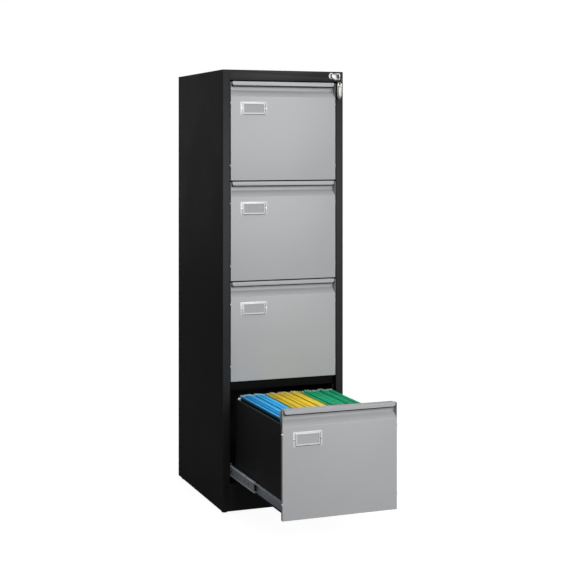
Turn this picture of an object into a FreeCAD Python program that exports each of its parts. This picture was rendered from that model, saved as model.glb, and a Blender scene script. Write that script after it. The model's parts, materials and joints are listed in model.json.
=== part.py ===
import FreeCAD, Part
import math
import os

# A four-drawer vertical filing cabinet in sheet steel, in millimetres. X runs across
# the cabinet with 0 on its centre line, Y runs from the front to the back, Z is up
# from the floor. The bottom drawer is modelled pulled out to its stop.
#
# Everything is drawn with Y = 0 on the front faces of the closed drawers, and is
# shifted along Y at the end so that the origin is under the middle of the whole part.

# Cabinet
WIDTH = 390.0
DEPTH = 470.0
HEIGHT = 1330.0
FOOT_HEIGHT = 10.0
SHEET = 1.0
POST_WIDTH = 22.5
POST_LIP = 24.0
REAR_FLANGE = 14.0
PLINTH_TOP = 91.5
FASCIA_BOTTOM = 1299.0
RETURN_DEPTH = 20.0
EDGE_RADIUS = 1.6

# Drawers
DRAWER_COUNT = 4
DRAWER_PITCH = 300.85
TOP_LIP = 1295.3
FRONT_HALF = 169.8
FRONT_HEIGHT = 297.2
OPEN_TRAVEL = 434.0
OPEN_DRAWER = 4

# Drawer front, measured down from the top of the grip lip and back from the face
LIP_HEIGHT = 11.5
LIP_PROUD = 1.7
LIP_BACK = 20.0
LIP_SHEET = 1.2
LIP_CORNER = 7.0
LIP_RETURN = 4.0
NECK_TOP = 16.0
NECK_BOTTOM = 27.0
SLOPE_BOTTOM = 45.0
RECESS = 16.0
FLANGE = 10.0
FRONT_CORNER = 5.0
FRONT_ROUND = 2.6

# Tray
TRAY_HALF = 159.0
TRAY_UP = 12.1
TRAY_TOP = 251.4
TRAY_FRONT = 2.0
TRAY_BACK = 421.0
HEM = 6.0
RAIL_TOP = 256.0

# Telescopic slides, with the height of their centre line above the drawer front's edge
SLIDE_UP = 34.9
SLIDE_FRONT = 12.0
SLIDE_BACK = 440.0
INNER_FRONT = 20.0
OUTER_WEB = 172.5
SLIDE_SHEET = 1.2

# Lock
LOCK_X = 156.0
LOCK_Z = 1316.7
PIN_REACH = 11.0
BAR_X = 174.3
BAR_SHEET = 2.0
BAR_FRONT = 26.0
BAR_BACK = 40.0
CATCH_UP = 150.0

# Folding keys: the bow lies flat in front of the fascia and the ring hangs from its slot
KEY_SHEET = 2.2
BOW_BACK = -6.4
BOW_REACH = 27.5
BOW_TOP = 8.5
BOW_BOTTOM = -13.5
SLOT_X = 176.2
SLOT_HALF = 2.3
SLOT_LOW = -8.5
SLOT_HIGH = 4.5
RING_RADIUS = 9.25
RING_WIRE = 0.75
RING_LIFT = 1.5
RING_FORWARD = 5.5
RING_TURN = 20.0
SPARE_TURN = -10.0
SPARE_HALF = 8.0
SPARE_HOLE = 2.4

# Hanging folders: left edge, right edge and count of each colour
FOLDER_THICK = 2.4
FOLDER_TOP = 262.0
FOLDER_BOTTOM = 24.0
FOLDER_FRONT = 30.0
FOLDER_BACK = 408.0
FOLDER_GROUPS = {
    "blue_folders": (-147.0, -69.0, 8),
    "yellow_folders": (-66.0, 39.0, 10),
    "green_folders": (42.0, 148.0, 10),
}

HALF_WIDTH = WIDTH / 2
POST_INNER = HALF_WIDTH - POST_WIDTH
LABEL_PROUD = 3.5
MODEL_SHIFT = -(DEPTH - OPEN_TRAVEL - LABEL_PROUD) / 2


def box(x0, x1, y0, y1, z0, z1):
    corner = FreeCAD.Vector(x0, y0, z0)
    return Part.makeBox(x1 - x0, y1 - y0, z1 - z0, corner)


def rod_y(x, z, radius, y0, y1):
    return Part.makeCylinder(radius, y1 - y0, FreeCAD.Vector(x, y0, z), FreeCAD.Vector(0, 1, 0))


def rod_x(y, z, radius, x0, x1):
    return Part.makeCylinder(radius, x1 - x0, FreeCAD.Vector(x0, y, z), FreeCAD.Vector(1, 0, 0))


def rod_z(x, y, radius, z0, z1):
    return Part.makeCylinder(radius, z1 - z0, FreeCAD.Vector(x, y, z0))


def prism_x(points, x0, x1):
    """A solid whose section in the YZ plane is the given list of (y, z) points."""
    outline = [FreeCAD.Vector(x0, y, z) for y, z in points]
    wire = Part.makePolygon(outline + outline[:1])
    return Part.Face(wire).extrude(FreeCAD.Vector(x1 - x0, 0, 0))


def prism_y(points, y0, y1):
    """A solid whose section in the XZ plane is the given list of (x, z) points."""
    outline = [FreeCAD.Vector(x, y0, z) for x, z in points]
    wire = Part.makePolygon(outline + outline[:1])
    return Part.Face(wire).extrude(FreeCAD.Vector(0, y1 - y0, 0))


def prism_z(points, z0, z1):
    """A solid whose section in the XY plane is the given list of (x, y) points."""
    outline = [FreeCAD.Vector(x, y, z0) for x, y in points]
    wire = Part.makePolygon(outline + outline[:1])
    return Part.Face(wire).extrude(FreeCAD.Vector(0, 0, z1 - z0))


def other_side(shape):
    return shape.mirror(FreeCAD.Vector(0, 0, 0), FreeCAD.Vector(1, 0, 0))


def both_sides(shape):
    return [shape, other_side(shape)]


def merged(shapes):
    return shapes[0].fuse(shapes[1:]).removeSplitter()


def rounded(shape, radius, wanted, along=""):
    """Fillet every edge whose end points all pass the test, or only those along one axis."""
    edges = []
    for edge in shape.Edges:
        size = edge.BoundBox
        lengths = {"x": size.XLength, "y": size.YLength, "z": size.ZLength}
        straight = not along or lengths[along] > sum(lengths.values()) - 0.01
        if straight and all(wanted(v.Point) for v in edge.Vertexes):
            edges.append(edge)
    return shape.makeFillet(radius, edges)


def near(a, b):
    return abs(a - b) < 0.01


def save(name, solids):
    """Write one node, moved from the drawing frame into the part's own frame."""
    group = Part.makeCompound(solids) if len(solids) > 1 else solids[0]
    group.translate(FreeCAD.Vector(0, MODEL_SHIFT, 0))
    group.exportStep("parts/" + name + ".step")


# ---------------------------------------------------------------- carcass

def right_side_panel():
    """One sheet: the side, the front post with its inner lip, and a rear flange."""
    low = FOOT_HEIGHT
    high = HEIGHT - SHEET
    section = [
        (HALF_WIDTH, 0), (HALF_WIDTH, DEPTH),
        (HALF_WIDTH - REAR_FLANGE, DEPTH), (HALF_WIDTH - REAR_FLANGE, DEPTH - SHEET),
        (HALF_WIDTH - SHEET, DEPTH - SHEET), (HALF_WIDTH - SHEET, SHEET),
        (POST_INNER + SHEET, SHEET), (POST_INNER + SHEET, POST_LIP),
        (POST_INNER, POST_LIP), (POST_INNER, 0),
    ]
    panel = prism_z(section, low, high)
    panel = rounded(panel, EDGE_RADIUS, lambda p: near(p.x, HALF_WIDTH) and near(p.y, 0), "z")
    panel = rounded(panel, EDGE_RADIUS, lambda p: near(p.x, HALF_WIDTH) and near(p.y, DEPTH), "z")
    return rounded(panel, EDGE_RADIUS / 2, lambda p: near(p.x, POST_INNER) and near(p.y, 0), "z")


def top_panel():
    """The top sheet with side flanges turned down inside the side panels."""
    flange_drop = 16.0
    top = box(-HALF_WIDTH, HALF_WIDTH, 0, DEPTH, HEIGHT - SHEET, HEIGHT)
    inside = HALF_WIDTH - SHEET
    flange = box(inside - SHEET, inside, 30, DEPTH - 30, HEIGHT - SHEET - flange_drop, HEIGHT - SHEET)
    corners = 4.0
    top = rounded(top, corners, lambda p: near(abs(p.x), HALF_WIDTH) and near(p.y, 0), "z")
    return merged([top] + both_sides(flange))


def back_panel():
    """The back sheet, set inside the rear flanges."""
    inside = HALF_WIDTH - SHEET
    return box(-inside, inside, DEPTH - 2 * SHEET, DEPTH - SHEET, FOOT_HEIGHT + SHEET, HEIGHT - SHEET)


def channel_front(low, high):
    """A front sheet between the posts with its edges turned back into the cabinet."""
    face = box(-POST_INNER, POST_INNER, 0, SHEET, low, high)
    lower = box(-POST_INNER, POST_INNER, SHEET, RETURN_DEPTH, low, low + SHEET)
    upper = box(-POST_INNER, POST_INNER, SHEET, RETURN_DEPTH, high - SHEET, high)
    return merged([face, lower, upper])


def lock_fascia():
    fascia = channel_front(FASCIA_BOTTOM, HEIGHT - SHEET)
    hole_radius = 7.2
    return fascia.cut(rod_y(LOCK_X, LOCK_Z, hole_radius, -5, 5))


def base_pan():
    """The floor sheet with upturned side flanges and holes for the feet."""
    inside = HALF_WIDTH - SHEET
    flange_rise = 16.0
    floor = box(-inside, inside, SHEET, DEPTH - 2 * SHEET, FOOT_HEIGHT, FOOT_HEIGHT + SHEET)
    floor = floor.cut(box(-inside, inside, 0, POST_LIP, FOOT_HEIGHT, FOOT_HEIGHT + SHEET))
    apron = box(-POST_INNER, POST_INNER, RETURN_DEPTH, POST_LIP, FOOT_HEIGHT, FOOT_HEIGHT + SHEET)
    flange = box(inside - SHEET, inside, 50, DEPTH - 50, FOOT_HEIGHT + SHEET, FOOT_HEIGHT + flange_rise)
    pan = merged([floor, apron] + both_sides(flange))
    hole_radius = 4.4
    for x, y in foot_places():
        pan = pan.cut(rod_z(x, y, hole_radius, 0, 30))
    return pan


def foot_places():
    return [(x, y) for x in (-178.0, 178.0) for y in (36.0, DEPTH - 16.0)]


def levelling_foot(x, y):
    """A moulded pad on a threaded stem that stands in the base pan."""
    pad_radius = 9.0
    pad = rod_z(x, y, pad_radius, 0, 6.0)
    pad = rounded(pad, 1.2, lambda p: near(p.z, 0))
    neck = rod_z(x, y, 6.0, 6.0, FOOT_HEIGHT)
    stem = rod_z(x, y, 4.0, FOOT_HEIGHT, 24.0)
    return merged([pad, neck, stem])


def cross_rail(drawer):
    """A channel between two drawer openings, behind the drawer fronts."""
    low = lip_top(drawer) - 25.0
    high = lip_top(drawer) + 10.0
    front = POST_LIP - 3
    back = front + 10
    section = [
        (front, low), (back, low), (back, low + SHEET), (front + SHEET, low + SHEET),
        (front + SHEET, high - SHEET), (back, high - SHEET), (back, high), (front, high),
    ]
    return prism_x(section, -POST_INNER, POST_INNER)


def slide_upright(y0):
    """A vertical channel on the side panel that carries the fixed slide members."""
    outside = HALF_WIDTH - SHEET
    width = 30.0
    low = FOOT_HEIGHT + 20
    high = HEIGHT - 20
    section = [
        (outside, y0), (outside, y0 + SHEET), (OUTER_WEB + SHEET, y0 + SHEET),
        (OUTER_WEB + SHEET, y0 + width - SHEET), (outside, y0 + width - SHEET),
        (outside, y0 + width), (OUTER_WEB, y0 + width), (OUTER_WEB, y0),
    ]
    return prism_z(section, low, high)


# ---------------------------------------------------------------- drawers

def lip_top(drawer):
    return TOP_LIP - (drawer - 1) * DRAWER_PITCH


def front_bottom(drawer):
    return lip_top(drawer) - FRONT_HEIGHT


def pulled_out(drawer, share=1.0):
    """How far the drawer stands forward of its closed place at rest."""
    return OPEN_TRAVEL * share if drawer == OPEN_DRAWER else 0.0


def moved_forward(solids, distance):
    for solid in solids:
        solid.translate(FreeCAD.Vector(0, -distance, 0))
    return solids


def front_body(drawer, inset):
    """The drawer front as a rounded block; inset gives the block of its hollow."""
    top = lip_top(drawer)
    low = front_bottom(drawer) + inset
    half = FRONT_HALF - inset
    past = 5 * inset
    line = [
        (inset, low), (inset, top - SLOPE_BOTTOM),
        (RECESS + inset, top - NECK_BOTTOM), (RECESS + inset, top - NECK_TOP + past),
    ]
    back = [
        (LIP_BACK + past, top - NECK_TOP + past), (LIP_BACK + past, top - NECK_BOTTOM),
        (FLANGE + past, top - NECK_BOTTOM - FLANGE), (FLANGE + past, low),
    ]
    body = prism_x(line + back, -half, half)
    bends = [line[1], line[2]]
    body = rounded(body, FRONT_ROUND, lambda p: any(near(p.y, y) and near(p.z, z) for y, z in bends), "x")
    body = rounded(body, FRONT_CORNER - inset, lambda p: near(abs(p.x), half) and near(p.z, low), "y")

    def on_front(p):
        slope = (p.z - line[1][1]) / (line[2][1] - line[1][1])
        return near(p.y, inset + RECESS * min(max(slope, 0), 1))

    rim = []
    for edge in body.Edges:
        ends = [v.Point for v in edge.Vertexes]
        across = abs(ends[0].x - ends[-1].x) > half
        at_bottom = near(ends[0].z, low)
        if all(on_front(p) for p in ends) and (at_bottom or not across):
            rim.append(edge)
    return body.makeFillet(FRONT_ROUND - inset, rim)


def drawer_front(drawer):
    """A pressed sheet front with side and bottom flanges and a sloped finger recess."""
    return front_body(drawer, 0).cut(front_body(drawer, SHEET))


def grip_body(drawer, inset):
    top = lip_top(drawer) - inset
    low = lip_top(drawer) - LIP_HEIGHT + inset
    half = FRONT_HALF - inset
    front = inset - LIP_PROUD
    body = box(-half, half, front, LIP_BACK + inset, low, top)
    body = rounded(body, LIP_CORNER - inset, lambda p: near(abs(p.x), half) and near(p.z, low), "y")
    body = rounded(body, 3 - inset, lambda p: near(abs(p.x), half) and near(p.z, top), "y")
    return rounded(body, 2.4 - inset, lambda p: near(p.y, front))


def drawer_grip(drawer):
    """The lip that is pulled: a rolled channel, open below, over the finger recess."""
    grip = grip_body(drawer, 0).cut(grip_body(drawer, LIP_SHEET))
    low = lip_top(drawer) - LIP_HEIGHT
    mouth = box(-FRONT_HALF + LIP_CORNER, FRONT_HALF - LIP_CORNER,
                LIP_RETURN, LIP_BACK, low, low + LIP_SHEET)
    return grip.cut(mouth)


def screw_heights(drawer):
    return [front_bottom(drawer) + up for up in (44.0, 231.6)]


def drawer_tray(drawer):
    """The folded tray: floor, hemmed sides, back, and a tall front wall under the lip."""
    low = front_bottom(drawer) + TRAY_UP
    high = front_bottom(drawer) + TRAY_TOP
    wall = SHEET
    floor = box(-TRAY_HALF, TRAY_HALF, TRAY_FRONT, TRAY_BACK, low, low + wall)
    side = box(TRAY_HALF - wall, TRAY_HALF, TRAY_FRONT, TRAY_BACK, low, high)
    hem = box(TRAY_HALF - HEM, TRAY_HALF, RECESS, TRAY_BACK, high - wall, high)
    back = box(-TRAY_HALF, TRAY_HALF, TRAY_BACK - wall, TRAY_BACK, low, high)
    front_top = lip_top(drawer) - LIP_SHEET
    front = box(-TRAY_HALF, TRAY_HALF, RECESS + 1.3, RECESS + 2.3, low, front_top)
    walls = [floor, back, front] + both_sides(side) + both_sides(hem)
    for z in screw_heights(drawer):
        walls += both_sides(box(TRAY_HALF, FRONT_HALF - SHEET, 3, 9, z - 8, z + 8))
    return merged(walls)


def label_holder(drawer):
    """A plate with two riveted ears and a raised frame that takes a card from one end."""
    x, z = label_place(drawer)
    plate = box(x - 43, x + 43, -0.8, 0, z - 20.5, z + 20.5)
    plate = rounded(plate, 2.5, lambda p: near(abs(p.x - x), 43), "y")
    frame = box(x - 31, x + 31, -LABEL_PROUD, -0.8, z - 17.5, z + 17.5)
    frame = rounded(frame, 1.0, lambda p: near(p.y, -LABEL_PROUD))
    window = box(x - 25, x + 25, -10, -0.8, z - 11.5, z + 11.5)
    card_slot = box(x - 28, x + 40, -2.4, -0.8, z - 14.5, z + 14.5)
    holder = merged([plate, frame])
    holder = holder.cut(window).cut(card_slot)
    for rivet_x in rivet_places(drawer):
        holder = holder.cut(rod_y(rivet_x, z, 2.1, -5, 5))
    return holder


def label_place(drawer):
    return -97.3, lip_top(drawer) - 80.8


def rivet_places(drawer):
    x = label_place(drawer)[0]
    return [x - 37.0, x + 37.0]


def dome_rivet(x, z):
    head = Part.makeSphere(4.6, FreeCAD.Vector(x, 2.4, z))
    head = head.common(box(x - 5, x + 5, -2.6, -0.8, z - 5, z + 5))
    return merged([head, rod_y(x, z, 2.0, -1.0, 0)])


def flange_screw(y, z):
    """A pan-head screw through the front's side flange into the tray's tab."""
    face = FRONT_HALF
    head = rod_x(y, z, 3.4, face, face + 1.9)
    head = rounded(head, 1.2, lambda p: near(p.x, face + 1.9))
    slot_half = 0.45
    return head.cut(box(face + 1.1, face + 3, y - 4, y + 4, z - slot_half, z + slot_half))


def fixings(drawer):
    x_z = [(x, label_place(drawer)[1]) for x in rivet_places(drawer)]
    solids = [dome_rivet(x, z) for x, z in x_z]
    for z in screw_heights(drawer):
        solids += both_sides(flange_screw(4.5, z))
    return solids


def file_rail(drawer, y0):
    """A flat bar across the tray that the hanging folders hook on to."""
    top = front_bottom(drawer) + RAIL_TOP
    inside = TRAY_HALF - SHEET
    bar = box(-inside, inside, y0, y0 + 2, top - 14, top)
    foot = front_bottom(drawer) + TRAY_TOP - SHEET
    notch = box(inside - HEM + SHEET, inside + 1, y0 - 1, y0 + 3, foot, top + 1)
    return bar.cut(notch).cut(other_side(notch))


def lock_catch(drawer):
    """A bracket on the tray's right side that the lock bar's finger drops in front of."""
    z = front_bottom(drawer) + CATCH_UP
    base = box(TRAY_HALF, TRAY_HALF + 1.2, 34, 60, z - 12, z + 2)
    tab = box(TRAY_HALF + 1.2, TRAY_HALF + 7.5, 34, 36, z - 8, z)
    return merged([base, tab])


# ---------------------------------------------------------------- slides

def slide_member(drawer, web_outer, web_inner, tip, half_height, y0, y1):
    """A channel with a vertical web between two X planes and flanges out to the tip."""
    z = front_bottom(drawer) + SLIDE_UP
    web_low, web_high = min(web_outer, web_inner), max(web_outer, web_inner)
    web = box(web_low, web_high, y0, y1, z - half_height, z + half_height)
    flange_low, flange_high = min(web_outer, tip), max(web_outer, tip)
    flange = box(flange_low, flange_high, y0, y1, z + half_height - SLIDE_SHEET, z + half_height)
    lower = flange.copy()
    lower.translate(FreeCAD.Vector(0, 0, SLIDE_SHEET - 2 * half_height))
    return merged([web, flange, lower])


def outer_member(drawer):
    web = OUTER_WEB
    return slide_member(drawer, web, web - SLIDE_SHEET, web - 11.0, 18.5, SLIDE_FRONT, SLIDE_BACK)


def middle_member(drawer):
    """The travelling member, with a row of holes punched through its web."""
    web = OUTER_WEB - 2.5
    member = slide_member(drawer, web, web - 1.0, web - 7.6, 15.2, SLIDE_FRONT, SLIDE_BACK)
    z = front_bottom(drawer) + SLIDE_UP
    for y in (55.0, 90.0, 150.0, 210.0, 300.0, 390.0):
        member = member.cut(rod_x(y, z, 3.0, web - 5, web + 5))
    return member


def inner_member(drawer):
    web = TRAY_HALF
    return slide_member(drawer, web, web + SLIDE_SHEET, web + 7.6, 11.8, INNER_FRONT, TRAY_BACK)


# ---------------------------------------------------------------- lock

def lock_barrel():
    """The fixed barrel with its flange against the fascia."""
    flange = rod_y(LOCK_X, LOCK_Z, 10.0, -2.6, 0)
    flange = rounded(flange, 1.2, lambda p: near(p.y, -2.6))
    body = rod_y(LOCK_X, LOCK_Z, 7.0, 0, 22)
    return merged([flange, body]).cut(rod_y(LOCK_X, LOCK_Z, 5.05, -5, 25))


def lock_nut():
    across_corners = 10.3
    start, along = FreeCAD.Vector(LOCK_X, SHEET, LOCK_Z), FreeCAD.Vector(0, 1, 0)
    outline = Part.makeCylinder(across_corners, 4, start, along)
    flats = box(LOCK_X - 20, LOCK_X + 20, 0, 10, LOCK_Z - 9, LOCK_Z + 9)
    nut = outline
    for turn in (0, 60, 120):
        slab = flats.copy()
        slab.rotate(FreeCAD.Vector(LOCK_X, 0, LOCK_Z), FreeCAD.Vector(0, 1, 0), turn)
        nut = nut.common(slab)
    return nut.cut(rod_y(LOCK_X, LOCK_Z, 7.0, -5, 25))


def lock_plug():
    """The turning plug, with a keyway along it."""
    plug = rod_y(LOCK_X, LOCK_Z, 5.0, -2.2, 24)
    return plug.cut(box(LOCK_X - 1.15, LOCK_X + 1.15, -5, 20, LOCK_Z - 3.9, LOCK_Z + 3.9))


def lock_cam():
    """A lever on the back of the plug with the pin that moves the lock bar."""
    pin_x = LOCK_X + PIN_REACH
    lever = box(LOCK_X, pin_x, 24, 25.6, LOCK_Z - 4, LOCK_Z + 4)
    ends = [rod_y(pin_x, LOCK_Z, 4.0, 24, 25.6), rod_y(LOCK_X, LOCK_Z, 5.0, 24, 25.6)]
    pin = rod_y(pin_x, LOCK_Z, 2.0, 25.6, 31)
    return merged([lever, pin] + ends)


def key_in_lock():
    """A folding key in the plug; its bow is turned flat to the right, with a slot for the ring."""
    front = BOW_BACK - KEY_SHEET
    outline = [
        (-2, -4.5), (-2, 4.5), (8, BOW_TOP), (BOW_REACH - 2, BOW_TOP), (BOW_REACH, BOW_TOP - 2),
        (BOW_REACH, BOW_BOTTOM + 2), (BOW_REACH - 2, BOW_BOTTOM), (7, BOW_BOTTOM),
    ]
    bow = prism_y([(LOCK_X + x, LOCK_Z + z) for x, z in outline], front, BOW_BACK)
    low = LOCK_Z + SLOT_LOW + SLOT_HALF
    high = LOCK_Z + SLOT_HIGH - SLOT_HALF
    bow = bow.cut(box(SLOT_X - SLOT_HALF, SLOT_X + SLOT_HALF, -20, 0, low, high))
    for z in (low, high):
        bow = bow.cut(rod_y(SLOT_X, z, SLOT_HALF, -20, 0))
    hinge = rod_z(LOCK_X, BOW_BACK, KEY_SHEET, LOCK_Z - 4.5, LOCK_Z + 4.5)
    blade = box(LOCK_X - 0.9, LOCK_X + 0.9, BOW_BACK, 18, LOCK_Z - 3.6, LOCK_Z + 3.6)
    return merged([bow, hinge, blade])


def ring_hold():
    """The point of the bow's slot that the ring hangs from."""
    lift = RING_WIRE + RING_LIFT
    return FreeCAD.Vector(SLOT_X, BOW_BACK - KEY_SHEET / 2, LOCK_Z + SLOT_LOW + lift)


def ring_centre():
    turn = math.radians(RING_TURN)
    drop = math.sqrt(RING_RADIUS ** 2 - RING_FORWARD ** 2)
    forward = FreeCAD.Vector(math.sin(turn), -math.cos(turn), 0) * RING_FORWARD
    return ring_hold() + forward - FreeCAD.Vector(0, 0, drop)


def key_ring():
    turn = math.radians(RING_TURN)
    across = FreeCAD.Vector(math.cos(turn), math.sin(turn), 0)
    return Part.makeTorus(RING_RADIUS, RING_WIRE, ring_centre(), across)


def spare_key():
    """The second key, folded: its blade lies along its bow, which hangs on the ring."""
    clearance = 0.35
    centre = ring_centre()
    hole = centre - FreeCAD.Vector(0, 0, RING_RADIUS + SPARE_HOLE - RING_WIRE - clearance)
    half = SPARE_HALF
    outline = [
        (-4.5, 4.5), (4.5, 4.5), (half, -3), (half, -22), (half - 2, -38), (2, -47),
        (-3.5, -47), (-half + 0.5, -38), (-half, -22), (-half, -3),
    ]
    places = [(hole.x + x, hole.z + z) for x, z in outline]
    plate = prism_y(places, hole.y - KEY_SHEET / 2, hole.y + KEY_SHEET / 2)
    face = hole.y - KEY_SHEET / 2
    blade = box(hole.x - 3.5, hole.x + 3.5, face - 1.8, face, hole.z - 43, hole.z - 6)
    key = merged([plate, blade])
    key = key.cut(rod_y(hole.x, hole.z, SPARE_HOLE, hole.y - 10, hole.y + 10))
    key.rotate(hole, FreeCAD.Vector(0, 0, 1), SPARE_TURN)
    return key


def lock_bar():
    """The vertical bar, with a slotted tab welded on at the lock and a finger at each drawer."""
    right = BAR_X + BAR_SHEET
    lowest = front_bottom(DRAWER_COUNT) + CATCH_UP - 20
    bar = box(BAR_X, right, BAR_FRONT, BAR_BACK, lowest, LOCK_Z + 6)
    pin_x = LOCK_X + PIN_REACH
    tab = box(LOCK_X - 6, BAR_X, BAR_FRONT + 0.5, BAR_FRONT + 2.5, LOCK_Z - 8.5, LOCK_Z + 6)
    slot = box(LOCK_X - 2.6, pin_x + 2.4, BAR_FRONT - 1, BAR_FRONT + 4, LOCK_Z - 4.8, LOCK_Z + 2.4)
    pieces = [bar, tab.cut(slot)]
    for drawer in range(1, DRAWER_COUNT + 1):
        z = front_bottom(drawer) + CATCH_UP
        pieces.append(box(TRAY_HALF + 2.5, BAR_X, BAR_FRONT, BAR_FRONT + 6, z + 1.5, z + 11.5))
    return pieces


def bar_guide(z):
    """A moulded guide on the side panel with a groove that the lock bar runs in."""
    block = box(BAR_X - 0.8, HALF_WIDTH - SHEET, BAR_FRONT - 1.5, BAR_BACK + 6, z - 12, z + 12)
    groove = box(BAR_X - 2, BAR_X + BAR_SHEET + 0.4, BAR_FRONT - 0.4, BAR_BACK + 0.4, z - 13, z + 13)
    return block.cut(groove)


# ---------------------------------------------------------------- folders

def hanging_folders(left, right, count):
    """Card folders standing side by side along the tray."""
    base = front_bottom(OPEN_DRAWER)
    pitch = (right - left - FOLDER_THICK) / (count - 1)
    folders = []
    for index in range(count):
        x = left + index * pitch
        folders.append(box(x, x + FOLDER_THICK, FOLDER_FRONT, FOLDER_BACK,
                           base + FOLDER_BOTTOM, base + FOLDER_TOP))
    return folders


def save_carcass():
    side = right_side_panel()
    save("left_side_panel", [other_side(side)])
    save("right_side_panel", [side])
    save("top_panel", [top_panel()])
    save("back_panel", [back_panel()])
    save("lock_fascia", [lock_fascia()])
    save("base_pan", [base_pan()])
    save("plinth", [channel_front(FOOT_HEIGHT, PLINTH_TOP)])
    save("cross_rails", [cross_rail(drawer) for drawer in range(2, DRAWER_COUNT + 1)])
    uprights = both_sides(slide_upright(62.0)) + both_sides(slide_upright(404.0))
    save("slide_uprights", uprights)
    save("levelling_feet", [levelling_foot(x, y) for x, y in foot_places()])
    outers = []
    for drawer in range(1, DRAWER_COUNT + 1):
        outers += both_sides(outer_member(drawer))
    save("slide_outer_members", outers)


def save_lock():
    save("lock_barrel", [lock_barrel()])
    save("lock_nut", [lock_nut()])
    save("lock_plug", [lock_plug()])
    save("lock_cam", [lock_cam()])
    save("key_in_lock", [key_in_lock()])
    save("key_ring", [key_ring()])
    save("spare_key", [spare_key()])
    save("lock_bar", lock_bar())
    save("lock_bar_guides", [bar_guide(z) for z in (60.0 + DRAWER_PITCH, 60.0 + 3 * DRAWER_PITCH)])


def save_drawer(drawer):
    name = "drawer_" + str(drawer) + "_"
    out = pulled_out(drawer)
    save(name + "front", moved_forward([drawer_front(drawer)], out))
    save(name + "grip", moved_forward([drawer_grip(drawer)], out))
    save(name + "tray", moved_forward([drawer_tray(drawer)], out))
    save(name + "label_holder", moved_forward([label_holder(drawer)], out))
    save(name + "fixings", moved_forward(fixings(drawer), out))
    save(name + "file_rails", moved_forward([file_rail(drawer, y) for y in (23.0, 413.0)], out))
    save(name + "lock_catch", moved_forward([lock_catch(drawer)], out))
    save(name + "slide_inner", moved_forward(both_sides(inner_member(drawer)), out))
    half_way = pulled_out(drawer, 0.5)
    save(name + "slide_middle", moved_forward(both_sides(middle_member(drawer)), half_way))


os.makedirs("parts", exist_ok=True)
save_carcass()
save_lock()
for number in range(1, DRAWER_COUNT + 1):
    save_drawer(number)
for folder_name, (left_edge, right_edge, folder_count) in FOLDER_GROUPS.items():
    folder_set = hanging_folders(left_edge, right_edge, folder_count)
    save(folder_name, moved_forward(folder_set, pulled_out(OPEN_DRAWER)))
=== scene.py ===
import json
import math

import bpy
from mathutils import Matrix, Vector

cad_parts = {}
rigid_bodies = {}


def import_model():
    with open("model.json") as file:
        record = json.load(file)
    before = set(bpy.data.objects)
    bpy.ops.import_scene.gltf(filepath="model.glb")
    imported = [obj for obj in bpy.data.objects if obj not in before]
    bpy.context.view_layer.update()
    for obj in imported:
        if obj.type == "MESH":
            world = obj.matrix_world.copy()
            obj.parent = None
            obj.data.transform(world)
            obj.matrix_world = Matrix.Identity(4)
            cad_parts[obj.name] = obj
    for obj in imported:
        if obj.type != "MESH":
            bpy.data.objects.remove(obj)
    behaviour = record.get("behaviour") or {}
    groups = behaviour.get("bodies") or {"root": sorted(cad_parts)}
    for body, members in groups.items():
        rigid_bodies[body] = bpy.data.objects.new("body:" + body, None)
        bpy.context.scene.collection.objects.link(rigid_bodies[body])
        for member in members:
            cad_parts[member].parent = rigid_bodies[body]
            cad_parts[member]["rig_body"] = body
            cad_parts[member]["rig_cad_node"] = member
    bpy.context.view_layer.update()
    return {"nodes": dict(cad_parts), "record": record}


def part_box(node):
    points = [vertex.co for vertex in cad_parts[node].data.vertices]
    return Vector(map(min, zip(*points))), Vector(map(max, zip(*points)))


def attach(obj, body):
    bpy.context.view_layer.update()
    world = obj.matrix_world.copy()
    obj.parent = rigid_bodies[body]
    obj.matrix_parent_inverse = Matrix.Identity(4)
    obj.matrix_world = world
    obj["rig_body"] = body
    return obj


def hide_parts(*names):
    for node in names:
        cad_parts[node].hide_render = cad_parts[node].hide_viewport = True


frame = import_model()

# Sizes in metres. The frame gives the places; these are the sections of the sheet parts.
MM = 0.001
SHEET = 1.0 * MM
NECK_TOP = 16 * MM
NECK_BOTTOM = 27 * MM
SLOPE_BOTTOM = 45 * MM
RECESS = 16 * MM
FLANGE = 10 * MM
BEND = 2.6 * MM
LIP_SHEET = 1.2 * MM
LIP_CORNER = 7 * MM
LIP_RETURN = 4 * MM
LIP_INSET = 5 * MM
RING_WIRE = 0.75 * MM
RING_TURN = math.radians(20)
CAP_SHEET = 1.4 * MM
LIP_SHADOW_MARGIN = 1.7 * MM
LABEL_PLATE = 0.8 * MM
LABEL_HALF_WIDTH = 35 * MM
LABEL_HALF_HEIGHT = 16.8 * MM
LABEL_RIM = 3.4 * MM
LABEL_WINDOW_DEPTH = 2.2 * MM
RIVET_SPREAD = 39.2 * MM
SCREW_RADIUS = 3.4 * MM
SCREW_SPACING = 231.6 * MM
OUTER_DEPTH = 11 * MM
OUTER_HALF = 18.5 * MM
MIDDLE_HALF = 15.2 * MM
INNER_HALF = 11.8 * MM
MEMBER_DEPTH = 7.6 * MM
SLIDE_HOLE_RADIUS = 3.4 * MM
SLIDE_HOLES = tuple(up * MM for up in (43, 78, 138, 198, 288, 378))
HEM = 9 * MM
HEM_ROLL = 3.0 * MM
DRAWERS = (1, 2, 3, 4)
OPEN_DRAWER = 4
FOLDER_COUNTS = {"blue": 7, "yellow": 8, "green": 7}

# The studio: light strengths in watts, and the camera's place in metres and degrees.
WORLD_LIGHT = 0.2
KEY_POWER = 122
FILL_POWER = 3
TOP_POWER = 16
DRAWER_POWER = 0.33
CAMERA_BACK = 3.718
CAMERA_LEFT = 1.4126
CAMERA_UP = 1.102
CAMERA_YAW = 21.0
CAMERA_LENS = 82.05
CAMERA_SHIFT = -0.2455


# ---------------------------------------------------------------- modelling helpers

def object_mode():
    if bpy.context.object and bpy.context.object.mode != "OBJECT":
        bpy.ops.object.mode_set(mode="OBJECT")


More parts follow.
